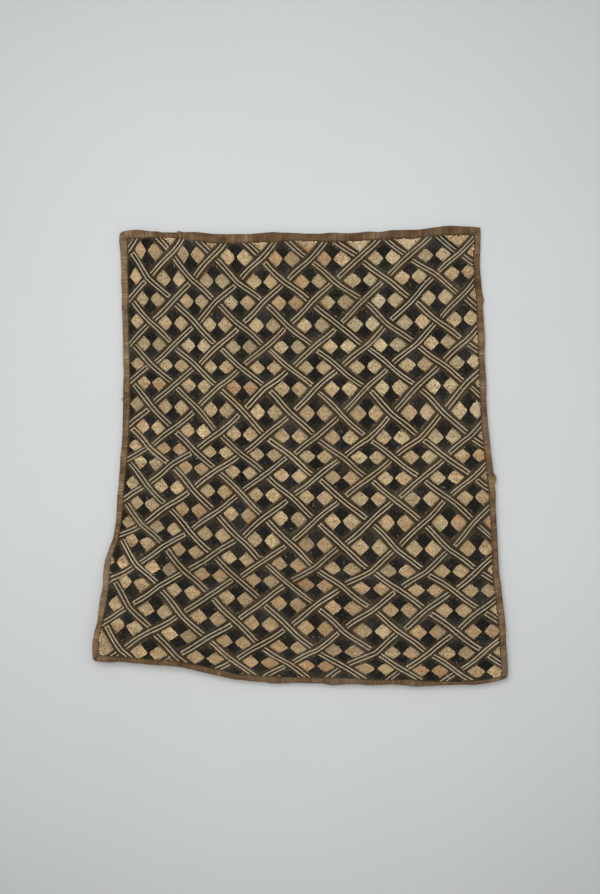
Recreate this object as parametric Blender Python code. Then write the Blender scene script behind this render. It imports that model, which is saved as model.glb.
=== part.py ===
# Kuba raffia cloth: an embroidered cut-pile panel hanging by the two corners of its top edge.
# Metres, +Z up. +X runs to the right of the face, and the face looks along -Y.
# The origin is on the plane it hangs against, level with the middle of the top edge.

import math

import bmesh
import bpy
from mathutils import Vector

MM = 0.001

# Cloth build-up, in millimetres
GROUND_THICKNESS = 1.0
PILE_HEIGHT = 1.4
CLEARANCE = 0.3
PILE_RAMP = 1.6

# Folded binding strips, in millimetres
STRIP_THICKNESS = 0.8
SIDE_WIDTH_LEFT = 8.8
SIDE_WIDTH_RIGHT = 9.0
FOOT_WIDTH = 8.0
HEAD_WIDTH_LONG = 11.5
HEAD_WIDTH_SHORT = 9.8
CORNER_BLUNTING = 1.3
FOLD_SHOULDER = 0.5
FOLD_ROUNDING = 0.25

# Where the two head strips meet: distance from the middle, and how far the joint leans
HEAD_JOINT = -166.5
HEAD_JOINT_LEAN = 0.35
HEAD_JOINT_NOTCH = 1.2

# Grid of the panel between its bindings
CELLS_ACROSS = 26
CELLS_DOWN = 30

# Outline of the cloth, in millimetres from the middle of the top edge
# drop below the top line, distance left of the middle
LEFT_SIDE = (
    (0.0, 242.0),
    (92.0, 241.0),
    (159.0, 239.0),
    (227.0, 238.3),
    (281.0, 240.3),
    (335.0, 245.0),
    (375.0, 247.7),
    (409.0, 252.5),
    (429.0, 259.0),
    (446.0, 264.0),
    (483.0, 267.3),
    (524.0, 274.0),
    (551.0, 279.5),
    (579.0, 278.5),
)

# drop below the top line, distance right of the middle
RIGHT_SIDE = (
    (-5.6, 244.5),
    (38.0, 243.5),
    (92.0, 247.0),
    (159.0, 249.8),
    (227.0, 252.5),
    (281.0, 256.5),
    (321.0, 260.6),
    (362.0, 264.6),
    (416.0, 267.5),
    (470.0, 270.5),
    (524.0, 276.5),
    (551.0, 278.5),
    (601.0, 280.8),
)

# distance right of the middle, height above the top line
HEAD = (
    (-242.0, 0.0),
    (-216.0, 2.7),
    (-182.0, 0.7),
    (-160.0, 0.6),
    (-119.0, -2.7),
    (-94.0, -4.0),
    (-54.0, -2.6),
    (-13.0, -0.8),
    (40.0, -1.2),
    (94.0, 0.7),
    (148.0, 3.0),
    (176.0, 6.1),
    (209.0, 8.1),
    (230.0, 7.4),
    (244.5, 5.6),
)

# distance right of the middle, drop below the top line
FOOT = (
    (-278.5, 579.0),
    (-232.0, 581.5),
    (-167.0, 587.0),
    (-135.0, 592.5),
    (-108.0, 598.5),
    (-81.0, 605.0),
    (-54.0, 608.0),
    (27.0, 610.0),
    (135.0, 611.8),
    (175.0, 613.0),
    (216.0, 611.8),
    (243.0, 609.5),
    (263.0, 606.8),
    (280.8, 601.0),
)

# Soft folds: centre right of the middle, centre drop, half width, half length,
# lean in degrees (top to the left), rise off the hanging plane
FOLDS = (
    (-52.0, 300.0, 42.0, 250.0, 4.0, 4.6),
    (40.0, 240.0, 40.0, 230.0, 2.0, -2.4),
    (196.0, 330.0, 62.0, 240.0, -3.0, 4.5),
    (-196.0, 250.0, 45.0, 200.0, 3.0, 2.6),
    (-130.0, 520.0, 34.0, 110.0, 38.0, 3.6),
    (-20.0, 560.0, 40.0, 80.0, 12.0, -2.4),
    (120.0, 540.0, 46.0, 90.0, -14.0, 3.2),
    (-28.0, 24.0, 70.0, 34.0, 0.0, 2.6),
    (120.0, 16.0, 44.0, 30.0, 0.0, -1.2),
)

# How far the middle of the ground cloth stands off the hanging plane
HEAD_STAND_OFF = 2.0
FOOT_STAND_OFF_LEFT = 5.0
FOOT_STAND_OFF_RIGHT = 8.5
HANG_POWER = 1.35

# The lower left corner lifts forward beyond a slanting line
FLARE_START_DROP = 420.0
FLARE_SLOPE = 0.78
FLARE_REACH = 120.0
FLARE_RISE = 7.0

TOTAL_DROP = 613.0
HALF_WIDTH = 245.0

# The two head corners are held flat: folds fade out this near to them
HELD_REACH = 60.0

# The outline holds what is seen from this far in front: places nearer than the plane are drawn in
SEEN_DISTANCE = 2011.5
SEEN_PLANE = 8.0
SEEN_DROP = 290.0


def along(rows, at):
    """Smooth curve through a table's rows, without overshoot."""
    last = len(rows) - 1
    at = min(max(at, rows[0][0]), rows[last][0])
    k = 0
    while k < last - 1 and at > rows[k + 1][0]:
        k += 1
    steps = [rows[i + 1][0] - rows[i][0] for i in range(last)]
    slopes = [(rows[i + 1][1] - rows[i][1]) / steps[i] for i in range(last)]

    def tangent(i):
        if i in (0, last):
            return slopes[min(i, last - 1)]
        if slopes[i - 1] * slopes[i] <= 0.0:
            return 0.0
        both = steps[i - 1] + steps[i]
        return both / (steps[i] / slopes[i] + steps[i - 1] / slopes[i - 1])

    t = (at - rows[k][0]) / steps[k]
    lift = t * t * (3.0 - 2.0 * t)
    start = tangent(k) * steps[k] * t * (1.0 - t) ** 2
    end = tangent(k + 1) * steps[k] * t * t * (t - 1.0)
    return rows[k][1] * (1.0 - lift) + rows[k + 1][1] * lift + start + end


def smooth_step(t):
    t = min(max(t, 0.0), 1.0)
    return t * t * (3.0 - 2.0 * t)


def stand_off(x, z):
    """Distance of the ground cloth's middle from the hanging plane, in millimetres."""
    drop = max(-z, 0.0)
    share = min(drop / TOTAL_DROP, 1.0)
    side = 0.5 + 0.5 * x / HALF_WIDTH
    foot = FOOT_STAND_OFF_LEFT + (FOOT_STAND_OFF_RIGHT - FOOT_STAND_OFF_LEFT) * side
    out = HEAD_STAND_OFF + foot * share ** HANG_POWER
    held = smooth_step((drop + HALF_WIDTH - abs(x)) / HELD_REACH)
    for centre, middle, width, length, lean, rise in FOLDS:
        turn = math.radians(lean)
        dx = x - centre
        dz = drop - middle
        across = (dx * math.cos(turn) - dz * math.sin(turn)) / width
        down = (dx * math.sin(turn) + dz * math.cos(turn)) / length
        out += rise * held * math.exp(-across * across - down * down)
    beyond = drop - FLARE_START_DROP - FLARE_SLOPE * (x + HALF_WIDTH)
    out += FLARE_RISE * smooth_step(beyond / FLARE_REACH) ** 2
    return out


def on_cloth(x, z, height=0.0):
    """A point of the hanging cloth, raised off the middle of the ground cloth."""
    step = 1.0
    slope_x = (stand_off(x + step, z) - stand_off(x - step, z)) / (2.0 * step)
    slope_z = (stand_off(x, z + step) - stand_off(x, z - step)) / (2.0 * step)
    normal = Vector((-slope_x, -1.0, -slope_z)).normalized()
    out = stand_off(x, z)
    scale = 1.0 - (out - SEEN_PLANE) / SEEN_DISTANCE
    point = Vector((x * scale, -out, (z + SEEN_DROP) * scale - SEEN_DROP)) + normal * height
    return point * MM


def left_at(share):
    drop = LEFT_SIDE[0][0] + share * (LEFT_SIDE[-1][0] - LEFT_SIDE[0][0])
    return Vector((-along(LEFT_SIDE, drop), -drop))


def right_at(share):
    drop = RIGHT_SIDE[0][0] + share * (RIGHT_SIDE[-1][0] - RIGHT_SIDE[0][0])
    return Vector((along(RIGHT_SIDE, drop), -drop))


def head_at(share):
    x = HEAD[0][0] + share * (HEAD[-1][0] - HEAD[0][0])
    return Vector((x, along(HEAD, x)))


def foot_at(share):
    x = FOOT[0][0] + share * (FOOT[-1][0] - FOOT[0][0])
    return Vector((x, -along(FOOT, x)))


def in_outline(u, v):
    """Point between the four edges: u runs left to right, v from head to foot."""
    sides = left_at(v) * (1.0 - u) + right_at(v) * u
    ends = head_at(u) * (1.0 - v) + foot_at(u) * v
    top = head_at(0.0) * (1.0 - u) + head_at(1.0) * u
    bottom = foot_at(0.0) * (1.0 - u) + foot_at(1.0) * u
    return sides + ends - (top * (1.0 - v) + bottom * v)


def width_at(v):
    return (right_at(v) - left_at(v)).length


def length_at(u):
    return (foot_at(u) - head_at(u)).length


def grid_lines(cells, near, far):
    """Lines of the panel's grid: rim, edge of the binding, foot of the pile, then even cells."""
    rim = STRIP_THICKNESS + CLEARANCE
    lines = [("near", rim), ("near", near + CLEARANCE), ("near", near + PILE_RAMP)]
    lines += [("share", i / cells) for i in range(1, cells)]
    lines += [("far", far + PILE_RAMP), ("far", far + CLEARANCE), ("far", rim)]
    return lines


def share_of(line, size):
    kind, value = line
    if kind == "near":
        return value / size
    if kind == "far":
        return 1.0 - value / size
    return value


COLUMNS = grid_lines(CELLS_ACROSS, SIDE_WIDTH_LEFT, SIDE_WIDTH_RIGHT)
ROWS = grid_lines(CELLS_DOWN, HEAD_WIDTH_LONG, FOOT_WIDTH)


def material(name, colour, roughness):
    made = bpy.data.materials.new(name)
    made.use_nodes = True
    shader = made.node_tree.nodes["Principled BSDF"]
    shader.inputs["Base Color"].default_value = (*colour, 1.0)
    shader.inputs["Roughness"].default_value = roughness
    shader.inputs["Metallic"].default_value = 0.0
    return made


def add_object(name, bm, finish):
    bmesh.ops.recalc_face_normals(bm, faces=bm.faces)
    mesh = bpy.data.meshes.new(name)
    bm.to_mesh(mesh)
    bm.free()
    mesh.shade_smooth()
    mesh.set_sharp_from_angle(angle=math.radians(40.0))
    mesh.materials.append(finish)
    made = bpy.data.objects.new(name, mesh)
    bpy.context.collection.objects.link(made)
    return made


def panel_point(column, row, height):
    """Point of the panel where two of its grid lines cross."""
    u = share_of(column, width_at(share_of(row, TOTAL_DROP)))
    v = share_of(row, length_at(u))
    flat = in_outline(u, v)
    return on_cloth(flat.x, flat.y, height)


def make_panel():
    """Ground cloth with its pile as one sheet, thinner where the bindings cover it."""
    last_column = len(COLUMNS) - 1
    last_row = len(ROWS) - 1
    bm = bmesh.new()
    bmesh.ops.create_grid(bm, x_segments=last_column, y_segments=last_row, size=0.5)
    back = list(bm.verts)
    made = bmesh.ops.extrude_face_region(bm, geom=list(bm.faces))["geom"]
    front = [g for g in made if isinstance(g, bmesh.types.BMVert)]
    for side, verts in (("back", back), ("front", front)):
        for vert in verts:
            i = round((vert.co.x + 0.5) * last_column)
            j = round((0.5 - vert.co.y) * last_row)
            height = GROUND_THICKNESS / 2.0
            if side == "back":
                height = -height
            elif 2 <= i <= last_column - 2 and 2 <= j <= last_row - 2:
                height += PILE_HEIGHT
            vert.co = panel_point(COLUMNS[i], ROWS[j], height)
    return add_object("panel", bm, material("embroidered_raffia", (0.30, 0.22, 0.13), 0.85))


def fold_section(width):
    """Section of a strip folded over the edge: outer and inner line as (distance in, height)."""
    inner = GROUND_THICKNESS / 2.0 + CLEARANCE
    outer = inner + STRIP_THICKNESS
    turn = STRIP_THICKNESS
    shoulder = turn + FOLD_SHOULDER
    outside = [(width, outer), (shoulder, outer), (FOLD_ROUNDING, outer / 2.0), (0.0, 0.0)]
    outside += [(d, -h) for d, h in reversed(outside[:-1])]
    inside = [(width, inner), (shoulder, inner), (turn, inner / 2.0), (turn, 0.0)]
    inside += [(d, -h) for d, h in reversed(inside[:-1])]
    return outside, inside


def strip_point(edge, line, distance_in, height):
    """Point of a strip: line runs along its edge, distance_in towards the cloth's middle."""
    if edge in ("left", "right"):
        share = share_of(line, length_at(0.0 if edge == "left" else 1.0))
        inset = distance_in / width_at(share)
        flat = in_outline(inset if edge == "left" else 1.0 - inset, share)
    else:
        share = share_of(line, width_at(0.0 if edge == "head" else 1.0))
        inset = distance_in / length_at(share)
        flat = in_outline(share, inset if edge == "head" else 1.0 - inset)
    return on_cloth(flat.x, flat.y, height)


def mitred(own_width, neighbour_width):
    """Rule for a mitred end: its distance from the corner for a point this far in."""
    def cut(distance_in):
        return max(distance_in * neighbour_width / own_width, CORNER_BLUNTING) + CLEARANCE
    return cut


def head_joint(distance_in):
    """Place of the joint between the two head strips, measured from the left corner."""
    return HEAD_JOINT - HEAD[0][0] + HEAD_JOINT_LEAN * distance_in


def head_notch(distance_in):
    """Both ends at the joint are cut back where they turn over the edge."""
    return CLEARANCE + max(HEAD_JOINT_NOTCH - distance_in, 0.0)


def before_head_joint(distance_in):
    return HEAD[-1][0] - HEAD[0][0] - head_joint(distance_in) + head_notch(distance_in)


def after_head_joint(distance_in):
    return head_joint(distance_in) + head_notch(distance_in)


def make_strip(name, edge, width, begins, ends, finish):
    """A strip folded over one edge; begins and ends give its cut at each distance in."""
    upright = edge in ("left", "right")
    far_side = 0.0 if edge in ("left", "head") else 1.0
    run = length_at(far_side) if upright else width_at(far_side)
    outside, inside = fold_section(width)
    section = outside + inside
    first = [begins(distance_in) / run for distance_in, _ in section]
    final = [1.0 - ends(distance_in) / run for distance_in, _ in section]
    spare = CLEARANCE / run
    cuts = [[("share", s) for s in first]]
    for line in ROWS if upright else COLUMNS:
        if max(first) + spare < share_of(line, run) < min(final) - spare:
            cuts.append([line] * len(section))
    cuts.append([("share", s) for s in final])
    bm = bmesh.new()
    place = bm.verts.layers.int.new("place")
    half = len(outside)
    ring = [bm.verts.new((0.0, 0.0, 0.0)) for _ in section]
    for k, vert in enumerate(ring):
        vert[place] = k
    faces = [
        bm.faces.new((ring[k], ring[k + 1], ring[half + k + 1], ring[half + k]))
        for k in range(half - 1)
    ]
    for step, cut in enumerate(cuts):
        if step > 0:
            made = bmesh.ops.extrude_face_region(bm, geom=faces)["geom"]
            if step > 1:
                bmesh.ops.delete(bm, geom=faces, context="FACES_ONLY")
            faces = [g for g in made if isinstance(g, bmesh.types.BMFace)]
            ring = [g for g in made if isinstance(g, bmesh.types.BMVert)]
        for vert in ring:
            k = vert[place]
            vert.co = strip_point(edge, cut[k], *section[k])
    return add_object(name, bm, finish)


def make_bindings():
    brown = material("folded_raffia_strip", (0.125, 0.075, 0.038), 0.8)
    left, right, foot = SIDE_WIDTH_LEFT, SIDE_WIDTH_RIGHT, FOOT_WIDTH
    short, long = HEAD_WIDTH_SHORT, HEAD_WIDTH_LONG
    strips = (
        ("binding_left", "left", left, mitred(left, short), mitred(left, foot)),
        ("binding_right", "right", right, mitred(right, long), mitred(right, foot)),
        ("binding_bottom", "foot", foot, mitred(foot, left), mitred(foot, right)),
        ("binding_top_short", "head", short, mitred(short, left), before_head_joint),
        ("binding_top_long", "head", long, after_head_joint, mitred(long, right)),
    )
    for name, edge, width, begins, ends in strips:
        make_strip(name, edge, width, begins, ends, brown)


for leftover in list(bpy.data.objects):
    bpy.data.objects.remove(leftover, do_unlink=True)

make_panel()
make_bindings()
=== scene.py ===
# Kuba raffia cloth: cut-pile panel with interlaced strapwork, in folded raffia bindings.
# Sizes are millimetres on the cloth's face (right of the middle, drop below the top line)
# until clothPoint turns them into metres in the frame.
import math

import bmesh
import bpy
import numpy as np
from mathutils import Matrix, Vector


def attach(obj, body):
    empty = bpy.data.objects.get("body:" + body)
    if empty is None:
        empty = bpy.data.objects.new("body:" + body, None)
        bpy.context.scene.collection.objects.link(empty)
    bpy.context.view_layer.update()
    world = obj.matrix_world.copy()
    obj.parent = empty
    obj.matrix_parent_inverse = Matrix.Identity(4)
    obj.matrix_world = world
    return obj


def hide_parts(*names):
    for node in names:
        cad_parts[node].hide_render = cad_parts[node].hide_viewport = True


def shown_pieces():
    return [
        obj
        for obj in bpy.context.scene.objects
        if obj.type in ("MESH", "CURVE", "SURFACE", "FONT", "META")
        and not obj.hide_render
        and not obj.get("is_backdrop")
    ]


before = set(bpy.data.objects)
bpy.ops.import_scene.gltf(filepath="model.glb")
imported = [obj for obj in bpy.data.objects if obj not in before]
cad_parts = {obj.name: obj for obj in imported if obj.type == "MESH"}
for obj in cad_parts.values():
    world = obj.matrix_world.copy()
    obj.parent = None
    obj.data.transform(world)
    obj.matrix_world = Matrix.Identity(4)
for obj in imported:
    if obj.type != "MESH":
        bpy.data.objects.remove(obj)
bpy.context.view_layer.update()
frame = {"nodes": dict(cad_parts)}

print("frame loaded:", ", ".join(frame["nodes"]))

toMetres = 0.001
random = np.random.default_rng(61)

# the cloth as it hangs; the same outline and soft folds as its solids
clothShape = {
    # drop, distance left of the middle
    "left": (
        (0, 242), (92, 241), (159, 239), (227, 238.3), (281, 240.3), (335, 245), (375, 247.7),
        (409, 252.5), (429, 259), (446, 264), (483, 267.3), (524, 274), (551, 279.5), (579, 278.5),
    ),
    # drop, distance right of the middle
    "right": (
        (-5.6, 244.5), (38, 243.5), (92, 247), (159, 249.8), (227, 252.5), (281, 256.5), (321, 260.6),
        (362, 264.6), (416, 267.5), (470, 270.5), (524, 276.5), (551, 278.5), (601, 280.8),
    ),
    # right of the middle, height above the top line
    "head": (
        (-242, 0), (-216, 2.7), (-182, 0.7), (-160, 0.6), (-119, -2.7), (-94, -4), (-54, -2.6),
        (-13, -0.8), (40, -1.2), (94, 0.7), (148, 3), (176, 6.1), (209, 8.1), (230, 7.4),
        (244.5, 5.6),
    ),
    # right of the middle, drop
    "foot": (
        (-278.5, 579), (-232, 581.5), (-167, 587), (-135, 592.5), (-108, 598.5), (-81, 605),
        (-54, 608), (27, 610), (135, 611.8), (175, 613), (216, 611.8), (243, 609.5),
        (263, 606.8), (280.8, 601),
    ),
    # centre, centre drop, half width, half length, lean in degrees, rise
    "folds": (
        (-52, 300, 42, 250, 4, 4.6), (40, 240, 40, 230, 2, -2.4), (196, 330, 62, 240, -3, 4.5),
        (-196, 250, 45, 200, 3, 2.6), (-130, 520, 34, 110, 38, 3.6), (-20, 560, 40, 80, 12, -2.4),
        (120, 540, 46, 90, -14, 3.2), (-28, 24, 70, 34, 0, 2.6), (120, 16, 44, 30, 0, -1.2),
    ),
    "headStandOff": 2.0,
    "footStandOff": (5.0, 8.5),
    "hangPower": 1.35,
    "flare": {"drop": 420.0, "slope": 0.78, "reach": 120.0, "rise": 7.0},
    # the tables hold the outline as seen from this far in front; nearer places are drawn in
    "seenFrom": {"distance": 2011.5, "plane": 8.0, "drop": 290.0},
    "totalDrop": 613.0,
    "halfWidth": 245.0,
    "heldReach": 60.0,
    "groundHalf": 0.5,
    # small unevenness of the hand-woven ground: wave length, height
    "unevenness": ((61.0, 0.34), (37.0, 0.22), (23.0, 0.12)),
}


def along(rows, at):
    # smooth line through a table's rows, without overshoot
    x, y = np.array(rows, float).T
    step = np.diff(x)
    rise = np.diff(y) / step
    before, after = rise[:-1], rise[1:]
    same = before * after > 0
    safeBefore = np.where(same, before, 1.0)
    safeAfter = np.where(same, after, 1.0)
    blend = (step[:-1] + step[1:]) / (step[1:] / safeAfter + step[:-1] / safeBefore)
    tangent = np.concatenate(([rise[0]], np.where(same, blend, 0.0), [rise[-1]]))
    at = np.clip(np.asarray(at, float), x[0], x[-1])
    k = np.clip(np.searchsorted(x, at, side="right") - 1, 0, len(step) - 1)
    t = (at - x[k]) / step[k]
    ease = t * t * (3 - 2 * t)
    bend = tangent[k] * step[k] * t * (1 - t) ** 2 + tangent[k + 1] * step[k] * t * t * (t - 1)
    return y[k] * (1 - ease) + y[k + 1] * ease + bend


def smoothStep(t):
    t = np.clip(t, 0.0, 1.0)
    return t * t * (3 - 2 * t)


def standOff(x, drop):
    # distance of the ground cloth's middle from the hanging plane
    shape = clothShape
    down = np.maximum(drop, 0.0)
    share = np.minimum(down / shape["totalDrop"], 1.0)
    side = 0.5 + 0.5 * x / shape["halfWidth"]
    footLeft, footRight = shape["footStandOff"]
    out = shape["headStandOff"] + (footLeft + (footRight - footLeft) * side) * share ** shape["hangPower"]
    held = smoothStep((down + shape["halfWidth"] - np.abs(x)) / shape["heldReach"])
    for centre, middle, width, length, lean, rise in shape["folds"]:
        turn = math.radians(lean)
        dx, dz = x - centre, down - middle
        across = (dx * math.cos(turn) - dz * math.sin(turn)) / width
        lengthwise = (dx * math.sin(turn) + dz * math.cos(turn)) / length
        out = out + rise * held * np.exp(-across * across - lengthwise * lengthwise)
    flare = shape["flare"]
    beyond = down - flare["drop"] - flare["slope"] * (x + shape["halfWidth"])
    out = out + flare["rise"] * smoothStep(beyond / flare["reach"]) ** 2
    for length, height in shape["unevenness"]:
        wave = 2 * math.pi / length
        out = out + height * held * np.sin(wave * x + 1.7 * np.sin(wave * 0.6 * down)) * np.sin(
            wave * 0.8 * down + 1.3 * np.sin(wave * 0.5 * x))
    return out


def clothNormal(x, drop):
    step = 0.5
    slopeX = (standOff(x + step, drop) - standOff(x - step, drop)) / (2 * step)
    slopeZ = (standOff(x, drop - step) - standOff(x, drop + step)) / (2 * step)
    normal = np.stack([-slopeX, -np.ones_like(slopeX), -slopeZ], axis=-1)
    return normal / np.linalg.norm(normal, axis=-1, keepdims=True)


def clothPoint(x, drop, height=0.0):
    # a spot on the hanging cloth, raised off the middle of the ground, in metres
    x, drop, height = np.broadcast_arrays(np.asarray(x, float), drop, height)
    seen = clothShape["seenFrom"]
    out = standOff(x, drop)
    scale = 1.0 - (out - seen["plane"]) / seen["distance"]
    flat = np.stack([x * scale, -out, -seen["drop"] - (drop - seen["drop"]) * scale], axis=-1)
    return (flat + clothNormal(x, drop) * height[..., None]) * toMetres


def edgeSpan(name):
    rows = clothShape[name]
    return rows[0][0], rows[-1][0] - rows[0][0]


def edgePoint(name, share):
    # spot on one of the four edges, as right of the middle and drop
    start, run = edgeSpan(name)
    at = start + np.asarray(share, float) * run
    value = along(clothShape[name], at)
    if name == "left":
        return -value, at
    if name == "right":
        return value, at
    if name == "head":
        return at, -value
    return at, value


def inOutline(u, v):
    # spot between the four edges: u runs left to right, v from head to foot
    spots = []
    for axis in (0, 1):
        sides = edgePoint("left", v)[axis] * (1 - u) + edgePoint("right", v)[axis] * u
        ends = edgePoint("head", u)[axis] * (1 - v) + edgePoint("foot", u)[axis] * v
        top = edgePoint("head", 0.0)[axis] * (1 - u) + edgePoint("head", 1.0)[axis] * u
        low = edgePoint("foot", 0.0)[axis] * (1 - u) + edgePoint("foot", 1.0)[axis] * u
        spots.append(sides + ends - (top * (1 - v) + low * v))
    return spots[0], spots[1]


def widthAt(v):
    left, right = edgePoint("left", v), edgePoint("right", v)
    return np.hypot(right[0] - left[0], right[1] - left[1])


def lengthAt(u):
    head, foot = edgePoint("head", u), edgePoint("foot", u)
    return np.hypot(foot[0] - head[0], foot[1] - head[1])


def wander(at, length, height, seed):
    # a slow random waver along a line
    knots = np.random.default_rng(seed).normal(0, 1, 64)
    place = (np.asarray(at, float) / length) % 63
    low = np.minimum(np.floor(place).astype(int), 62)
    t = place - low
    ease = t * t * (3 - 2 * t)
    return height * (knots[low] * (1 - ease) + knots[low + 1] * ease)


# shader node groups

def newGroup(name, inputs, outputs):
    group = bpy.data.node_groups.new(name, "ShaderNodeTree")
    for label, kind, value in inputs:
        socket = group.interface.new_socket(name=label, in_out="INPUT", socket_type=kind)
        if value is not None:
            socket.default_value = value
    for label, kind in outputs:
        group.interface.new_socket(name=label, in_out="OUTPUT", socket_type=kind)
    nodes = group.nodes
    start = nodes.new("NodeGroupInput")
    end = nodes.new("NodeGroupOutput")
    start.location, end.location = (-900, 0), (700, 0)
    return group, start, end


def mathNode(tree, operation, first, second=None, clamp=False):
    node = tree.nodes.new("ShaderNodeMath")
    node.operation = operation
    node.use_clamp = clamp
    for socket, value in zip(node.inputs, (first, second)):
        if value is None:
            continue
        if isinstance(value, (int, float)):
            socket.default_value = value
        else:
            tree.links.new(value, socket)
    return node.outputs[0]


def mixColour(tree, blend, factor, first, second):
    node = tree.nodes.new("ShaderNodeMix")
    node.data_type = "RGBA"
    node.blend_type = blend
    for socket, value in ((node.inputs[0], factor), (node.inputs[6], first), (node.inputs[7], second)):
        if isinstance(value, (int, float, tuple)):
            socket.default_value = value
        else:
            tree.links.new(value, socket)
    return node.outputs[2]


def mapRange(tree, value, low, high, toLow, toHigh):
    node = tree.nodes.new("ShaderNodeMapRange")
    tree.links.new(value, node.inputs["Value"])
    node.inputs["From Min"].default_value = low
    node.inputs["From Max"].default_value = high
    node.inputs["To Min"].default_value = toLow
    node.inputs["To Max"].default_value = toHigh
    return node.outputs["Result"]


def noiseAt(tree, place, scale, detail=2.0, dimensions="3D"):
    # noise value at a vector, or at a distance along a line where it has one dimension
    node = tree.nodes.new("ShaderNodeTexNoise")
    node.noise_dimensions = dimensions
    node.inputs["Scale"].default_value = scale
    node.inputs["Detail"].default_value = detail
    tree.links.new(place, node.inputs["W" if dimensions == "1D" else "Vector"])
    return node.outputs["Fac"]


def storedValue(tree, name, output):
    # a value or colour stored on the mesh
    node = tree.nodes.new("ShaderNodeAttribute")
    node.attribute_name = name
    return node.outputs[output]


def fibreGroup():
    # fine raffia fibre lines along the third axis of the vector, and slower blotches
    group, start, end = newGroup(
        "raffiaFibre",
        (("Vector", "NodeSocketVector", None), ("Scale", "NodeSocketFloat", 1500.0),
         ("Stretch", "NodeSocketFloat", 0.15), ("Blotch Scale", "NodeSocketFloat", 60.0)),
        (("Fibre", "NodeSocketFloat"), ("Blotch", "NodeSocketFloat")))
    stretch = group.nodes.new("ShaderNodeCombineXYZ")
    stretch.inputs[0].default_value = 1.0
    stretch.inputs[1].default_value = 1.0
    group.links.new(start.outputs["Stretch"], stretch.inputs[2])
    scaled = group.nodes.new("ShaderNodeVectorMath")
    scaled.operation = "MULTIPLY"
    group.links.new(start.outputs["Vector"], scaled.inputs[0])
    group.links.new(stretch.outputs[0], scaled.inputs[1])
    fine = group.nodes.new("ShaderNodeTexNoise")
    fine.inputs["Detail"].default_value = 3.0
    fine.inputs["Roughness"].default_value = 0.6
    group.links.new(scaled.outputs[0], fine.inputs["Vector"])
    group.links.new(start.outputs["Scale"], fine.inputs["Scale"])
    slow = group.nodes.new("ShaderNodeTexNoise")
    slow.inputs["Detail"].default_value = 4.0
    group.links.new(start.outputs["Vector"], slow.inputs["Vector"])
    group.links.new(start.outputs["Blotch Scale"], slow.inputs["Scale"])
    group.links.new(fine.outputs["Fac"], end.inputs["Fibre"])
    group.links.new(slow.outputs["Fac"], end.inputs["Blotch"])
    return group


def weaveGroup():
    # plain over-and-under weave of flat raffia, in the X and Z of the vector
    group, start, end = newGroup(
        "plainWeave",
        (("Vector", "NodeSocketVector", None), ("Warp Pitch", "NodeSocketFloat", 0.0013),
         ("Weft Pitch", "NodeSocketFloat", 0.0015), ("Waver", "NodeSocketFloat", 0.0006)),
        (("Height", "NodeSocketFloat"), ("Gap", "NodeSocketFloat"), ("Thread", "NodeSocketFloat")))
    waver = noiseAt(group, start.outputs["Vector"], 45.0)
    split = group.nodes.new("ShaderNodeSeparateXYZ")
    group.links.new(start.outputs["Vector"], split.inputs[0])
    shift = mathNode(group, "MULTIPLY", mathNode(group, "SUBTRACT", waver, 0.5),
                     start.outputs["Waver"])
    across = mathNode(group, "DIVIDE", mathNode(group, "ADD", split.outputs["X"], shift),
                      start.outputs["Warp Pitch"])
    down = mathNode(group, "DIVIDE", mathNode(group, "ADD", split.outputs["Z"], shift),
                    start.outputs["Weft Pitch"])
    warp = mathNode(group, "SINE", mathNode(group, "MULTIPLY", across, math.pi))
    weft = mathNode(group, "SINE", mathNode(group, "MULTIPLY", down, math.pi))
    wave = mathNode(group, "MULTIPLY", mathNode(group, "MULTIPLY", warp, weft), 0.4)
    warpHigh = mathNode(group, "MULTIPLY", mathNode(group, "ABSOLUTE", warp),
                        mathNode(group, "ADD", wave, 0.6))
    weftHigh = mathNode(group, "MULTIPLY", mathNode(group, "ABSOLUTE", weft),
                        mathNode(group, "SUBTRACT", 0.6, wave))
    height = mathNode(group, "MAXIMUM", warpHigh, weftHigh)
    gap = mapRange(group, height, 0.05, 0.4, 1.0, 0.0)
    tone = group.nodes.new("ShaderNodeTexWhiteNoise")
    tone.noise_dimensions = "2D"
    cell = group.nodes.new("ShaderNodeCombineXYZ")
    over = mathNode(group, "GREATER_THAN", warpHigh, weftHigh)
    group.links.new(mathNode(group, "MULTIPLY", mathNode(group, "FLOOR", across), over), cell.inputs[0])
    under = mathNode(group, "SUBTRACT", 1.0, over)
    group.links.new(mathNode(group, "MULTIPLY", mathNode(group, "FLOOR", down), under), cell.inputs[1])
    group.links.new(cell.outputs[0], tone.inputs["Vector"])
    group.links.new(height, end.inputs["Height"])
    group.links.new(gap, end.inputs["Gap"])
    group.links.new(tone.outputs["Value"], end.inputs["Thread"])
    return group


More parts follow.
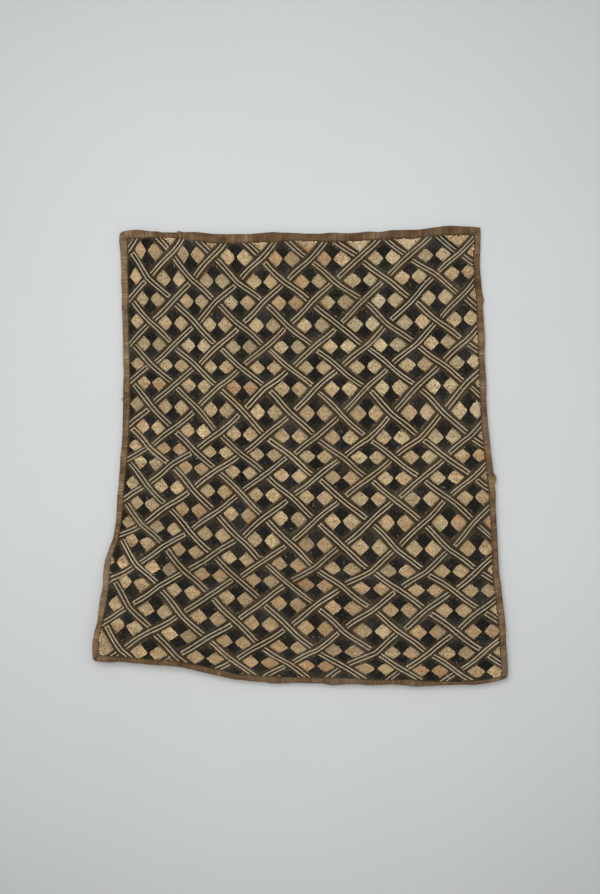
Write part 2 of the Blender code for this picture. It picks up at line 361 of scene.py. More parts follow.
def ageGroup():
    # handling marks: slow darker stains and paler rubbed places
    group, start, end = newGroup(
        "clothAge",
        (("Vector", "NodeSocketVector", None), ("Colour", "NodeSocketColor", (0.5, 0.5, 0.5, 1.0)),
         ("Stain", "NodeSocketFloat", 0.25), ("Rub", "NodeSocketFloat", 0.15)),
        (("Colour", "NodeSocketColor"), ("Roughness", "NodeSocketFloat")))
    stain = noiseAt(group, start.outputs["Vector"], 9.0, 5.0)
    rub = noiseAt(group, start.outputs["Vector"], 32.0, 3.0)
    stainHigh = mapRange(group, stain, 0.45, 0.75, 0.0, 1.0)
    stained = mathNode(group, "MULTIPLY", stainHigh, start.outputs["Stain"])
    rubHigh = mapRange(group, rub, 0.5, 0.8, 0.0, 1.0)
    rubbed = mathNode(group, "MULTIPLY", rubHigh, start.outputs["Rub"])
    darker = mixColour(group, "MULTIPLY", stained, start.outputs["Colour"], (0.45, 0.36, 0.27, 1.0))
    paler = mixColour(group, "SCREEN", rubbed, darker, (0.36, 0.31, 0.24, 1.0))
    group.links.new(paler, end.inputs["Colour"])
    group.links.new(mapRange(group, rub, 0.3, 0.7, 0.92, 0.74), end.inputs["Roughness"])
    return group


groups = {"fibre": fibreGroup(), "weave": weaveGroup(), "age": ageGroup()}
print("shader groups made")


def placeGroup(tree, key, values, vector):
    node = tree.nodes.new("ShaderNodeGroup")
    node.node_tree = groups[key]
    for name, value in values.items():
        node.inputs[name].default_value = value
    tree.links.new(vector, node.inputs["Vector"])
    return node


def newMaterial(name, sheen=0.0):
    made = bpy.data.materials.new(name)
    made.use_nodes = True
    tree = made.node_tree
    shader = tree.nodes["Principled BSDF"]
    shader.inputs["Sheen Weight"].default_value = sheen
    shader.inputs["Sheen Roughness"].default_value = 0.45
    shader.inputs["Specular IOR Level"].default_value = 0.3
    place = tree.nodes.new("ShaderNodeTexCoord").outputs["Object"]
    return made, tree, shader, place


def addBump(tree, shader, height, strength, distance):
    bump = tree.nodes.new("ShaderNodeBump")
    bump.inputs["Strength"].default_value = strength
    bump.inputs["Distance"].default_value = distance
    tree.links.new(height, bump.inputs["Height"])
    tree.links.new(bump.outputs["Normal"], shader.inputs["Normal"])


def finishAged(tree, shader, place, colour, stain, rub):
    # colour and roughness of the surface, through the handling marks
    age = placeGroup(tree, "age", {"Stain": stain, "Rub": rub}, place)
    tree.links.new(colour, age.inputs["Colour"])
    tree.links.new(age.outputs["Colour"], shader.inputs["Base Color"])
    tree.links.new(age.outputs["Roughness"], shader.inputs["Roughness"])


def srgb(red, green, blue):
    # a colour named by its screen values, as the shader's own linear ones
    shares = [v / 255 for v in (red, green, blue)]
    return tuple(v / 12.92 if v <= 0.04045 else ((v + 0.055) / 1.055) ** 2.4 for v in shares)


# colours of the dyed and undyed raffia
raffiaColours = {
    "groundFront": srgb(97, 78, 50),
    "groundBack": srgb(176, 150, 108),
    "cream": srgb(205, 180, 139),
    "creamTan": srgb(200, 162, 116),
    "creamRust": srgb(196, 150, 106),
    "speck": srgb(168, 136, 94),
    "black": srgb(26, 24, 18),
    "creamRim": srgb(112, 86, 54),
    "blackRim": srgb(72, 63, 49),
    "creamLine": srgb(193, 177, 148),
    "darkLine": srgb(58, 43, 18),
    "binding": srgb(108, 81, 51),
    "bindingPale": srgb(164, 132, 96),
    "bindingDark": srgb(64, 45, 28),
}


def dyedMaterial(name, sheen, fibreScale, contrast, bumpHeight, stain):
    # raffia whose colour is stored on the mesh, one for each tuft or stitch: dye with painted shade toward
    # the root, and on the pile some painted light
    made, tree, shader, place = newMaterial(name, sheen)
    fibre = placeGroup(tree, "fibre", {"Scale": fibreScale, "Stretch": 0.35, "Blotch Scale": 130.0}, place)
    shade = mapRange(tree, fibre.outputs["Fibre"], 0.3, 0.7, 1.0 - contrast, 1.0 + contrast)
    grey = tree.nodes.new("ShaderNodeCombineColor")
    for socket in grey.inputs[:3]:
        tree.links.new(shade, socket)
    streaked = mixColour(tree, "MULTIPLY", 1.0, storedValue(tree, "dye_and_painted_light", "Color"), grey.outputs[0])
    finishAged(tree, shader, place, streaked, stain, 0.1)
    addBump(tree, shader, fibre.outputs["Fibre"], 0.6, bumpHeight)
    return made


def groundMaterial(name, colour, darkGap, stain):
    made, tree, shader, place = newMaterial(name, 0.05)
    weave = placeGroup(tree, "weave", {}, place)
    fibre = placeGroup(tree, "fibre", {"Scale": 900.0, "Stretch": 0.5}, place)
    base = (*colour, 1.0)
    deep = tuple(v * darkGap for v in colour) + (1.0,)
    threads = mixColour(tree, "MIX", mapRange(tree, weave.outputs["Thread"], 0, 1, 0.0, 0.35), base, deep)
    # painted shade: the gaps between the woven threads are darkened
    gapped = mixColour(tree, "MIX", mathNode(tree, "MULTIPLY", weave.outputs["Gap"], 0.8), threads, deep)
    finishAged(tree, shader, place, gapped, stain, 0.2)
    height = mathNode(tree, "ADD", weave.outputs["Height"],
                      mathNode(tree, "MULTIPLY", fibre.outputs["Fibre"], 0.25))
    addBump(tree, shader, height, 0.8, 0.0004)
    return made


def bindingMaterial(name):
    # ribbed strip: its UV runs along the strip in U and across it in V, in metres
    made, tree, shader, place = newMaterial(name, 0.12)
    uv = tree.nodes.new("ShaderNodeTexCoord").outputs["UV"]
    split = tree.nodes.new("ShaderNodeSeparateXYZ")
    tree.links.new(uv, split.inputs[0])
    shift = mathNode(tree, "MULTIPLY", noiseAt(tree, uv, 160.0), 0.0022)
    ribPlace = mathNode(tree, "ADD", split.outputs["X"], shift)
    rib = mathNode(tree, "SINE", mathNode(tree, "MULTIPLY", ribPlace, 2 * math.pi / 0.0024))
    ribHigh = mapRange(tree, rib, -1.0, 1.0, 0.0, 1.0)
    bands = noiseAt(tree, split.outputs["X"], 420.0, 3.0, "1D")
    slow = noiseAt(tree, split.outputs["X"], 45.0, 2.0, "1D")
    paleness = storedValue(tree, "paleness", "Fac")
    paintedEdgeShade = storedValue(tree, "paintedEdgeShade", "Fac")
    fibre = placeGroup(tree, "fibre", {"Scale": 1300.0, "Stretch": 0.6, "Blotch Scale": 90.0}, place)
    base = (*raffiaColours["binding"], 1.0)
    pale = (*raffiaColours["bindingPale"], 1.0)
    deep = (*raffiaColours["bindingDark"], 1.0)
    # paleness along each strip; over the rolled end of the long head strip it is a painted highlight
    lightness = mathNode(tree, "ADD", paleness, mapRange(tree, slow, 0.3, 0.7, -0.35, 0.4), clamp=True)
    light = mixColour(tree, "MIX", lightness, base, pale)
    banded = mixColour(tree, "MIX", mapRange(tree, bands, 0.4, 0.68, 0.0, 0.6), light, deep)
    # painted shade: the troughs between the ribs are darkened
    ribbed = mixColour(tree, "MIX", mapRange(tree, ribHigh, 0.0, 0.6, 0.22, 0.0), banded, deep)
    blotch = mapRange(tree, fibre.outputs["Blotch"], 0.45, 0.7, 0.0, 0.75)
    mottled = mixColour(tree, "MIX", blotch, ribbed, deep)
    # painted shade: the strip's sloping inner edge is darkened toward the dark stitch brown
    edgeShadeMix = mathNode(tree, "MULTIPLY", paintedEdgeShade, 0.75)
    edgeShadedColour = mixColour(tree, "MIX", edgeShadeMix, mottled, (*raffiaColours["darkLine"], 1.0))
    finishAged(tree, shader, place, edgeShadedColour, 0.2, 0.2)
    height = mathNode(tree, "ADD", ribHigh, mathNode(tree, "MULTIPLY", fibre.outputs["Fibre"], 0.5))
    addBump(tree, shader, height, 0.9, 0.0005)
    return made


materials = {
    "groundFront": groundMaterial("ground_front", raffiaColours["groundFront"], 0.35, 0.3),
    "groundBack": groundMaterial("ground_back", raffiaColours["groundBack"], 0.5, 0.25),
    "creamPile": dyedMaterial("cream_pile", 0.15, 1500.0, 0.16, 0.0003, 0.12),
    "blackPile": dyedMaterial("black_pile", 0.04, 1500.0, 0.35, 0.0003, 0.0),
    "creamStitch": dyedMaterial("cream_stitch", 0.1, 1100.0, 0.12, 0.0002, 0.12),
    "darkStitch": dyedMaterial("dark_stitch", 0.05, 1100.0, 0.25, 0.0002, 0.0),
    "binding": bindingMaterial("binding_strip"),
}
print("materials made")


def meshFrom(name, bm):
    mesh = bpy.data.meshes.new(name)
    bm.to_mesh(mesh)
    bm.free()
    return mesh


def addPiece(name, mesh, finishes):
    for finish in finishes:
        mesh.materials.append(materials[finish])
    piece = bpy.data.objects.new(name, mesh)
    bpy.context.collection.objects.link(piece)
    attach(piece, "root")
    return piece


# ground cloth

groundCloth = {"cellsAcross": 112, "cellsDown": 126, "rimInset": 1.0}


def makeGround():
    part = groundCloth
    bm = bmesh.new()
    bmesh.ops.create_grid(bm, x_segments=part["cellsAcross"], y_segments=part["cellsDown"], size=0.5)
    bmesh.ops.extrude_face_region(bm, geom=list(bm.faces))
    bm.verts.ensure_lookup_table()
    half = len(bm.verts) // 2
    spots = np.array([vert.co[:] for vert in bm.verts])
    v = 0.5 - spots[:, 1]
    u = spots[:, 0] + 0.5
    insetU = part["rimInset"] / widthAt(v)
    insetV = part["rimInset"] / lengthAt(u)
    x, drop = inOutline(insetU + u * (1 - 2 * insetU), insetV + v * (1 - 2 * insetV))
    side = np.where(np.arange(len(spots)) < half, -1.0, 1.0)
    places = clothPoint(x, drop, side * clothShape["groundHalf"])
    for vert, place in zip(bm.verts, places):
        vert.co = place
    bmesh.ops.recalc_face_normals(bm, faces=bm.faces)
    for face in bm.faces:
        face.material_index = 0 if face.normal.y < 0 else 1
        face.smooth = True
    mesh = meshFrom("ground_cloth", bm)
    return addPiece("ground_cloth", mesh, ("groundFront", "groundBack"))


ground = makeGround()
print("ground cloth woven:", len(ground.data.polygons), "faces")

# folded binding strips; positions run along their own edge from its first corner

bindings = {
    "section": {
        # share of the width in from the fold, height off the ground's middle
        "face": ((1.0, 0.8), (0.97, 1.3), (0.82, 1.62), (0.6, 1.72), (0.36, 1.7), (0.15, 1.45),
                 (0.045, 0.9)),
        "backLeg": 0.9,
        "inner": 0.62,
        "innerFold": 0.8,
    },
    "spacing": 2.0,
    "clearance": 0.3,
    "easeStations": 6,
    "strips": {
        "left_strip": {
            "edge": "left", "node": "binding_left",
            "begins": ("mitre", 9.2, 0.2), "ends": ("mitre", 8.2, 1.3),
            "width": ((0, 9.0), (60, 9.2), (150, 8.8), (260, 9.0), (360, 8.3), (470, 8.5), (540, 8.0),
                      (600, 7.6)),
            "outward": ((0, 1.0), (4, 1.8), (11, 2.0), (27, 0.6), (60, 0.0), (140, -0.5), (173, 0.2),
                        (189, -0.6), (218, 0.9), (240, 0.0), (302, 0.5), (319, -0.4), (370, 0.0),
                        (400, -1.0), (432, -0.3), (464, 0.7), (481, 0.3), (497, 1.1), (520, 0.0),
                        (545, -0.3), (562, 1.7), (600, 0.3)),
            "paleness": ((0, 0.25), (36, 0.4), (48, 0.95), (88, 0.85), (110, 0.5), (180, 0.75),
                         (230, 0.35), (320, 0.65), (420, 0.4), (500, 0.6), (600, 0.25)),
        },
        "right_strip": {
            "edge": "right", "node": "binding_right",
            "begins": ("mitre", 12.0, 1.3), "ends": ("mitre", 5.0, 1.3),
            "width": ((0, 9.4), (120, 9.0), (240, 9.4), (380, 9.0), (480, 8.8), (600, 8.6)),
            "outward": ((0, -0.6), (49, -0.9), (88, -0.3), (97, 1.6), (106, -0.4), (138, 0.5),
                        (178, -0.9), (211, 0.4), (227, -0.3), (251, -1.7), (276, -0.7), (308, 0.0),
                        (330, 0.2), (335, 3.2), (341, 3.8), (346, 0.4), (372, -0.4), (405, -1.5),
                        (429, -0.7), (454, -1.4), (470, -0.6), (486, 0.9), (510, 0.5), (551, 0.3),
                        (600, -0.2)),
            "paleness": ((0, 0.35), (90, 0.1), (150, 0.5), (200, 0.2), (260, 0.1), (340, 0.5),
                         (380, 0.3), (430, 0.1), (520, 0.4), (600, 0.1)),
        },
        "foot_strip": {
            "edge": "foot", "node": "binding_bottom",
            "begins": ("mitre", 7.6, 1.3), "ends": ("mitre", 8.6, 1.3),
            "width": ((0, 8.2), (60, 8.2), (120, 7.4), (190, 7.8), (230, 9.2), (280, 8.0), (335, 9.2),
                      (380, 7.8), (425, 8.0), (470, 6.4), (500, 5.4), (530, 4.8), (560, 5.0)),
            "outward": ((0, 0.0), (20, 0.4), (47, -0.7), (80, 0.3), (112, -0.4), (136, 0.5), (160, 0.9),
                        (201, -0.4), (225, -1.9), (241, 0.3), (257, 0.0), (274, -2.0), (290, -2.2),
                        (306, -1.2), (322, 0.9), (339, -0.1), (355, -0.8), (371, 0.7), (403, -0.9),
                        (419, -0.4), (436, 0.9), (452, -0.7), (484, -1.6), (501, -0.7), (517, 0.9),
                        (560, 0.2)),
            "paleness": ((0, 0.1), (80, 0.25), (170, -0.05), (260, 0.15), (380, -0.05), (470, 0.1),
                         (560, 0.0)),
        },
        "head_strip_short": {
            "edge": "head", "node": "binding_top_short",
            "begins": ("mitre", 9.0, 0.2), "ends": ("joint", None, None),
            "width": ((0, 9.8), (16, 10.8), (28, 11.0), (40, 10.2), (51, 9.2), (63, 8.6), (80, 8.4)),
            "outward": ((0, -0.4), (3, 0.4), (8, 0.9), (24, 0.7), (40, -0.2), (50, 0.0), (60, -1.8),
                        (70, -2.9), (80, -2.9)),
            "paleness": ((0, 0.3), (30, 0.5), (60, 0.3), (80, 0.2)),
        },
        "head_strip_long": {
            "edge": "head", "node": "binding_top_long",
            "begins": ("joint", None, None), "ends": ("mitre", 10.0, 1.3),
            "width": ((74, 9.6), (84, 9.8), (88, 11.2), (98, 11.6), (110, 11.6), (170, 11.6),
                      (190, 11.0), (206, 12.4), (226, 10.6), (300, 11.4), (380, 11.8), (430, 12.2),
                      (487, 11.6)),
            "outward": ((74, 1.2), (80, 1.3), (85, 0.2), (107, 0.8), (123, 0.5), (156, 1.3), (172, 0.9),
                        (188, 1.6), (204, 2.0), (220, 0.0), (237, -0.1), (253, -1.1), (269, -0.5),
                        (285, 0.8), (301, -0.3), (318, -0.8), (334, 0.3), (350, -0.7), (366, 1.1),
                        (383, 0.5), (407, -0.4), (440, 0.4), (487, 0.2)),
            "crown": ((74, 0.4), (78, 0.9), (81.5, 0.6), (83.5, -0.4), (86, 0.0), (487, 0.0)),
            # the pale start over the rolled end is a painted highlight
            "paleness": ((74, 0.9), (80, 0.8), (83, 0.0), (150, 0.15), (230, -0.05), (330, 0.15),
                         (420, 0.0), (487, 0.1)),
        },
    },
    "headJoint": {"position": 75.5, "lean": 0.35, "notch": 0.8, "overlap": 6.0},
}


def edgeRun(edge):
    # full length between its two corners
    if edge in ("left", "right"):
        return float(lengthAt(0.0 if edge == "left" else 1.0))
    return float(widthAt(0.0 if edge == "head" else 1.0))


def stripSpot(edge, position, inward):
    # spot on the face: position along the edge and distance in from it
    share = np.asarray(position, float) / edgeRun(edge)
    if edge in ("left", "right"):
        inset = inward / widthAt(share)
        return inOutline(inset if edge == "left" else 1.0 - inset, share)
    inset = inward / lengthAt(share)
    return inOutline(share, inset if edge == "head" else 1.0 - inset)


def stripWidth(strip, position):
    seed = len(strip["node"])
    return along(strip["width"], position) + wander(position, 21.0, 0.28, seed) + wander(
        position, 6.5, 0.14, seed + 40)


def stripCut(strip, which, inward):
    # where an end is cut for a point this far in, measured from its corner
    kind, neighbour, blunting = strip[which]
    joint = bindings["headJoint"]
    if kind == "mitre":
        own = strip["width"][0][1] if which == "begins" else strip["width"][-1][1]
        return np.maximum(inward * neighbour / own, blunting) + bindings["clearance"]
    place = joint["position"] + joint["lean"] * inward
    notch = bindings["clearance"] + np.maximum(joint["notch"] - inward, 0.0)
    return place + notch if which == "begins" else edgeRun(strip["edge"]) - place + notch


def stripLoop():
    # closed section: share in from the fold and height, round the face, the back and inside
    section = bindings["section"]
    face = list(section["face"])
    leg = section["backLeg"]
    back = [(share * leg, -height) for share, height in reversed(face)]
    inner, fold = section["inner"], section["innerFold"]
    inside = [(leg * 0.95, -inner), (0.5, -inner), (0.16, -inner), (fold / 9.0, 0.0)]
    inside += [(0.16, inner), (0.5, inner), (0.95, inner)]
    return face + [(0.0, 0.0)] + back + inside


def makeStrip(name):
    strip = bindings["strips"][name]
    run = edgeRun(strip["edge"])
    loop = stripLoop()
    loop.append(loop[0])
    deepest = max(strip["width"][0][1], strip["width"][-1][1])
    begin = float(stripCut(strip, "begins", deepest))
    finish = run - float(stripCut(strip, "ends", deepest))
    stations = int((finish - begin) / bindings["spacing"])
    bm = bmesh.new()
    bmesh.ops.create_grid(bm, x_segments=stations, y_segments=len(loop) - 1, size=0.5)
    spots = np.array([vert.co[:] for vert in bm.verts])
    i = np.rint((spots[:, 0] + 0.5) * stations)
    k = np.rint((spots[:, 1] + 0.5) * (len(loop) - 1)).astype(int)
    share, height = np.array(loop)[k].T
    even = begin + (finish - begin) * i / stations
    inward = share * deepest
    nearBegin = np.clip(1.0 - i / bindings["easeStations"], 0.0, 1.0)
    nearEnd = np.clip(1.0 - (stations - i) / bindings["easeStations"], 0.0, 1.0)
    position = even - nearBegin * (begin - stripCut(strip, "begins", inward))
    position = position + nearEnd * (run - stripCut(strip, "ends", inward) - finish)
    seed = len(strip["node"]) + 7
    outward = along(strip["outward"], position) + wander(position, 17.0, 0.3, seed)
    inward = share * stripWidth(strip, position) - outward * (1.0 - share)
    onFace = height > bindings["section"]["inner"] + 0.01
    swell = wander(position, 9.0, 0.07, seed + 1)
    if "crown" in strip:
        swell = swell + along(strip["crown"], position)
    height = height + np.where(onFace, swell * np.minimum(1.0, 4.0 * share), 0.0)
    ripple = wander(position, 5.0, 0.05, seed + 2) * np.sign(height)
    height = height + np.where(np.abs(height) > 0.7, ripple, 0.0)
    x, drop = stripSpot(strip["edge"], position, inward)
    places = clothPoint(x, drop, height)
    legs = np.diff(np.array(loop) * [deepest, 1.0], axis=0)
    across = np.concatenate(([0.0], np.cumsum(np.hypot(*legs.T))))
    uv = bm.loops.layers.uv.new("strip")
    bm.verts.ensure_lookup_table()
    for face in bm.faces:
        for corner in face.loops:
            at = corner.vert.index
            corner[uv].uv = (position[at] * toMetres, across[k[at]] * toMetres)
    pale = bm.verts.layers.float.new("paleness")
    paintedEdgeShade = bm.verts.layers.float.new("paintedEdgeShade")
    paleness = along(strip["paleness"], position)
    # painted shade along the sloping inner edge, where the strip steps down to the pile
    edgeShadeAmount = np.clip((share - 0.8) / 0.17, 0.0, 1.0) * onFace
    for at, vert in enumerate(bm.verts):
        vert.co = places[at]
        vert[pale] = paleness[at]
        vert[paintedEdgeShade] = edgeShadeAmount[at]
    bmesh.ops.remove_doubles(bm, verts=bm.verts, dist=1e-6)
    openEdges = [edge for edge in bm.edges if edge.is_boundary]
    caps = bmesh.ops.holes_fill(bm, edges=openEdges, sides=0)["faces"]
    bmesh.ops.triangulate(bm, faces=caps, ngon_method="EAR_CLIP")
    bmesh.ops.recalc_face_normals(bm, faces=bm.faces)
    mesh = meshFrom(name, bm)
    mesh.shade_smooth()
    mesh.set_sharp_from_angle(angle=math.radians(55))
    piece = addPiece(name, mesh, ("binding",))
    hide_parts(strip["node"])
    return piece


strips = [makeStrip(name) for name in bindings["strips"]]
print("binding strips folded:", sum(len(strip.data.polygons) for strip in strips), "faces")


def roomInside(x, drop):
    # distance from a spot to the nearest binding's inner edge, inside the cloth
    x, drop = np.asarray(x, float), np.asarray(drop, float)
    parts = bindings["strips"]
    startLeft, startRight = edgeSpan("left")[0], edgeSpan("right")[0]
    startHead, startFoot = edgeSpan("head")[0], edgeSpan("foot")[0]
    left = x + along(clothShape["left"], drop) - stripWidth(parts["left_strip"], drop - startLeft)
    right = along(clothShape["right"], drop) - x - stripWidth(parts["right_strip"], drop - startRight)
    joint = startHead + bindings["headJoint"]["position"] + bindings["headJoint"]["overlap"]
    head = np.where(x < joint, stripWidth(parts["head_strip_short"], x - startHead),
                    stripWidth(parts["head_strip_long"], x - startHead))
    top = drop + along(clothShape["head"], x) - head
    low = along(clothShape["foot"], x) - drop - stripWidth(parts["foot_strip"], x - startFoot)
    return np.minimum(np.minimum(left, right), np.minimum(top, low))


# the interlaced pattern: straps run corner to corner through a net of columns and half rows

strapwork = {
    "firstColumn": -1,
    "columnAnchors": (0, 6, 12, 18),
    # right of the middle, at each anchor half row
    "columns": (
        (-262, -258, -268, -292), (-231, -229, -238, -265), (-207, -200.5, -210.3, -235.7),
        (-174.2, -170.6, -178.5, -199.5), (-148.6, -139.3, -147.7, -163.5),
        (-118.4, -109.8, -114.8, -125.8), (-86.7, -77.8, -81.1, -88.4), (-52.4, -46.2, -48.5, -53.7),
        (-23.1, -12.6, -14.4, -15.4), (11.9, 20.7, 21.3, 21.5), (43.7, 54.8, 56.2, 58.2),
        (81.4, 90.2, 94.5, 101.5), (113.3, 122.2, 129.5, 137.4), (147.2, 158.6, 165.8, 174.4),
        (181.6, 191.4, 201.4, 211.3), (214.4, 225.3, 236.8, 248.9), (246.4, 257.9, 270.7, 285.5),
        (278.1, 290.3, 305.1, 322.7),
    ),
    "firstHalfRow": -1,
    "rowAnchors": (-202, 0, 216),
    # drop at each anchor
    "halfRows": (
        (-8, 5, 0), (25.7, 36.5, 28.4), (62.1, 67.5, 54), (90.5, 95.2, 85.7), (121.5, 126.4, 117.5),
        (151.2, 155.3, 147.2), (178.9, 183.3, 175.5), (203.2, 211.1, 205.7), (233.6, 244.4, 241),
        (263.3, 276.8, 276.1), (290.3, 302.4, 301.7), (310.5, 329.4, 330.8), (341.6, 357.2, 358.4),
        (367.2, 387.5, 391.5), (396.9, 420.5, 428), (419.9, 450.9, 457.7), (452.3, 474.5, 484),
        (476.6, 502.9, 510.3), (510.3, 533.3, 539.6), (537.3, 562.3, 568.4), (568.4, 583.9, 592.7),
        (594, 607.5, 618.3), (618, 632, 644),
    ),
    # share of the way to the next crossing where a strap dives under
    "dive": 0.852,
    # sideways place of each stitched line, its width, and whether it is pale
    "lines": ((0.0, 2.2, False), (-2.25, 1.6, True), (2.25, 1.6, True), (-4.9, 3.3, False),
              (4.9, 3.3, False)),
    "stitchLength": 6.6,
    "stitchPitch": 3.4,
    "stitchHeight": 1.15,
    "slant": 11.0,
    "slantSpread": 2.5,
    "stitchBase": 0.55,
    "leastRoom": 0.3,
    "routePoints": 45,
    # how the lines stop short of a crossing: extra for pale ones, for the middle one, and by chance
    "paleStop": 0.5,
    "middleStop": 1.0,
    "endGap": (1.0, 1.8),
    "pitchSpread": 0.25,
    # slow sideways waver of a strap, and of each line in it: height, wave length, spread
    "sway": (0.85, 12.0, 0.4),
    "bow": (0.22, 7.0, 0.2),
    # the stitch that turns the corner between two pale lines
    "endTurn": {
        "share": 0.3, "back": 1.2, "room": 4.5, "base": 1.0, "length": 6.2, "width": 1.7, "height": 1.1,
    },
}

columnCurves = np.polyfit(strapwork["columnAnchors"], np.array(strapwork["columns"], float).T, 3)
rowCurves = np.polyfit(strapwork["rowAnchors"], np.array(strapwork["halfRows"], float).T, 2)


def curveAt(curves, index, at):
    value = np.zeros(np.shape(at))
    for power in curves:
        value = value * at + power[index]
    return value


def curveBetween(curves, steps, at):
    # eased between two neighbouring curves; steps count from the first one
    k = np.clip(np.floor(steps).astype(int), 0, curves.shape[1] - 2)
    return curveAt(curves, k, at) * (1 - steps + k) + curveAt(curves, k + 1, at) * (steps - k)


def netPoint(column, halfRow):
    # spot on the face for a place counted in columns and half rows
    column, halfRow = np.broadcast_arrays(np.asarray(column, float), np.asarray(halfRow, float))
    x = curveBetween(columnCurves, column - strapwork["firstColumn"], halfRow)
    drop = curveBetween(rowCurves, halfRow - strapwork["firstHalfRow"], x)
    return x, drop


def netPlaces(odd):
    # every crossing, or every diamond's middle where odd
    first, rows = strapwork["firstColumn"], strapwork["firstHalfRow"]
    for column in range(first, first + len(strapwork["columns"])):
        for halfRow in range(rows, rows + len(strapwork["halfRows"])):
            if (column + halfRow) % 2 == odd:
                yield column, halfRow


# small repeated things: one shape placed many times and joined

def shapeOf(bm):
    bm.verts.index_update()
    spots = np.array([vert.co[:] for vert in bm.verts])
    faces = [[vert.index for vert in face.verts] for face in bm.faces]
    bm.free()
    return spots, faces


def stitchShape():
    # a lens-shaped stitch along X: four-sided, both ends drawn to a point
    bm = bmesh.new()
    bmesh.ops.create_cone(bm, cap_ends=True, segments=4, radius1=0.5, radius2=0.5, depth=0.42)
    caps = [face for face in bm.faces if abs(face.normal.z) > 0.9]
    tips = bmesh.ops.poke(bm, faces=caps)["verts"]
    for vert in tips:
        vert.co.z *= 0.5 / 0.21
    for vert in bm.verts:
        vert.co = Vector((vert.co.z, vert.co.x, vert.co.y))
    bmesh.ops.recalc_face_normals(bm, faces=bm.faces)
    return shapeOf(bm)


def tuftShape():
    # a cut tuft: foot on the ground at height 0, narrower crown at height 1
    bm = bmesh.new()
    bmesh.ops.create_cube(bm, size=1.0)
    for vert in bm.verts:
        vert.co.z += 0.5
        if vert.co.z > 0.5:
            vert.co.x *= 0.74
            vert.co.y *= 0.74
    return shapeOf(bm)


def joinedCopies(name, shape, places, copyColours, finish, rootShade):
    # places: x, drop, base height, turn, length, width, height and rise along the length
    spots, faces = shape
    x, drop, base, turn, length, width, tall, rise = np.array(places, float).T[:, :, None]
    alongIt = spots[:, 0] * length
    across = spots[:, 1] * width
    up = base + spots[:, 2] * tall + rise * spots[:, 0]
    ahead = x + np.cos(turn) * alongIt - np.sin(turn) * across
    below = drop - np.sin(turn) * alongIt - np.cos(turn) * across
    points = clothPoint(ahead, below, up).reshape(-1, 3)
    count, size = len(places), len(spots)
    corners = np.array([corner for face in faces for corner in face])
    starts = np.cumsum([0] + [len(face) for face in faces[:-1]])
    allCorners = (corners + size * np.arange(count)[:, None]).ravel()
    allStarts = (starts + len(corners) * np.arange(count)[:, None]).ravel()
    mesh = bpy.data.meshes.new(name)
    mesh.vertices.add(count * size)
    mesh.vertices.foreach_set("co", points.ravel())
    mesh.loops.add(len(allCorners))
    mesh.loops.foreach_set("vertex_index", allCorners)
    mesh.polygons.add(len(allStarts))
    mesh.polygons.foreach_set("loop_start", allStarts)
    mesh.update(calc_edges=True)
    # painted shade: each tuft or stitch is darkened toward its root, where its neighbours would shade it
    shade = 1.0 - rootShade * (spots[:, 2].max() - spots[:, 2]) / np.ptp(spots[:, 2])
    tint = np.ones((count, size, 4))
    tint[:, :, :3] = np.array(copyColours, float)[:, None, :] * shade[None, :, None]
    layer = mesh.attributes.new("dye_and_painted_light", "FLOAT_COLOR", "POINT")
    layer.data.foreach_set("color", tint.ravel())
    mesh.shade_smooth()
    return addPiece(name, mesh, (finish,))


def shaded(colour, spread, warmth=0.0):
    # a dye a little lighter or darker, and warmer or cooler
    level = 1.0 + random.normal(0.0, spread)
    heat = random.normal(0.0, warmth)
    return (colour[0] * level * (1 + heat), colour[1] * level, colour[2] * level * (1 - heat))


